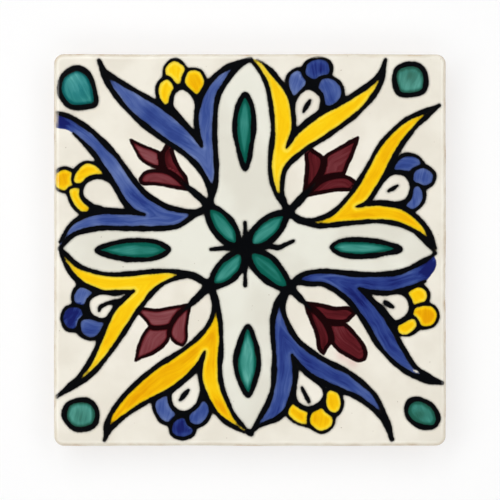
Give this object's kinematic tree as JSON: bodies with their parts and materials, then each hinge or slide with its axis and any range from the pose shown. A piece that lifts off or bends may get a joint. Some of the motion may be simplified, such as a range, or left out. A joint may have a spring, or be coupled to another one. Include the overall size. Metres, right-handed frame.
{
  "type": "ceramic wall tile",
  "caption": "Square hand-painted ceramic tile with a rolled glazed edge, a floral cross on its face and a ribbed back for bedding in adhesive.",
  "frame": {"origin": "middle of the back, on the plane of the key ribs that the tile rests on", "axes": "+Z out of the glazed face, +Y towards the top of the painted pattern as the picture shows it, +X to its right"},
  "size_m": [0.1, 0.1, 0.01],
  "materials": {
    "glazed_face": "glossy off-white glaze, painted under it in cobalt blue, yellow, copper green, maroon and black"
  },
  "bodies": {
    "root": {"ceramic_tile": "glazed_face"}
  },
  "joints": []
}
